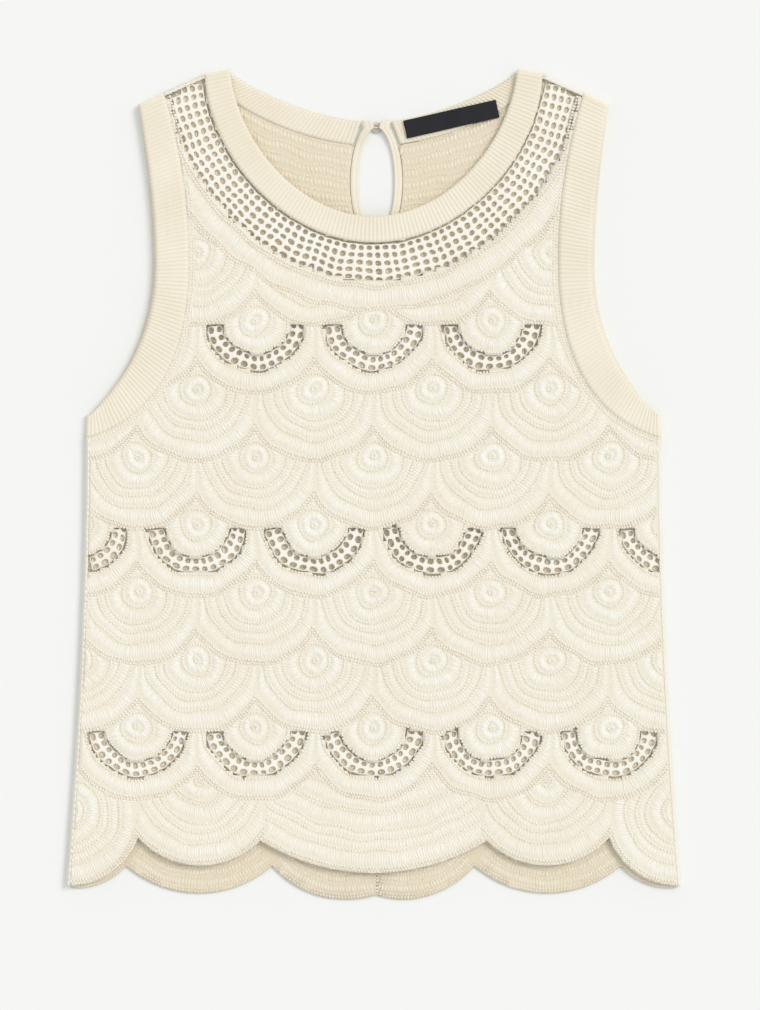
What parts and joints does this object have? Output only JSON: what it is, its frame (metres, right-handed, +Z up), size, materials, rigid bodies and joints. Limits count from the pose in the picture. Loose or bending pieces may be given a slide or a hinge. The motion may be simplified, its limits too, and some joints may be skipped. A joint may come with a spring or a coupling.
{
  "type": "sleeveless crochet top",
  "caption": "Sleeveless cream crochet lace top laid flat, with ribbed neck and armhole bands, a keyhole back, a scalloped hem and a bare woven label.",
  "frame": {"origin": "middle of the whole top's box, on the surface that it lies on", "axes": "+X towards the garment's left shoulder as it lies on its back, on the viewer's right, +Y from hem to neck, +Z up out of the surface through the back and then the front"},
  "size_m": [0.4182, 0.564, 0.0084],
  "materials": {
    "crochet_lace": "matte cotton crochet lace",
    "rib_knit": "matte cotton rib knit",
    "shell_button": "pearly shell button",
    "woven_label": "dark woven damask, bare"
  },
  "bodies": {
    "root": {"front_panel": "crochet_lace", "back_panel_left": "crochet_lace", "back_panel_right": "crochet_lace", "front_neckband": "rib_knit", "back_neckband_left": "rib_knit", "back_neckband_right": "rib_knit", "armhole_band_left": "rib_knit", "armhole_band_right": "rib_knit", "keyhole_trim_left": "rib_knit", "keyhole_trim_right": "rib_knit", "button_loop": "rib_knit", "button": "shell_button", "label": "woven_label"}
  },
  "joints": []
}
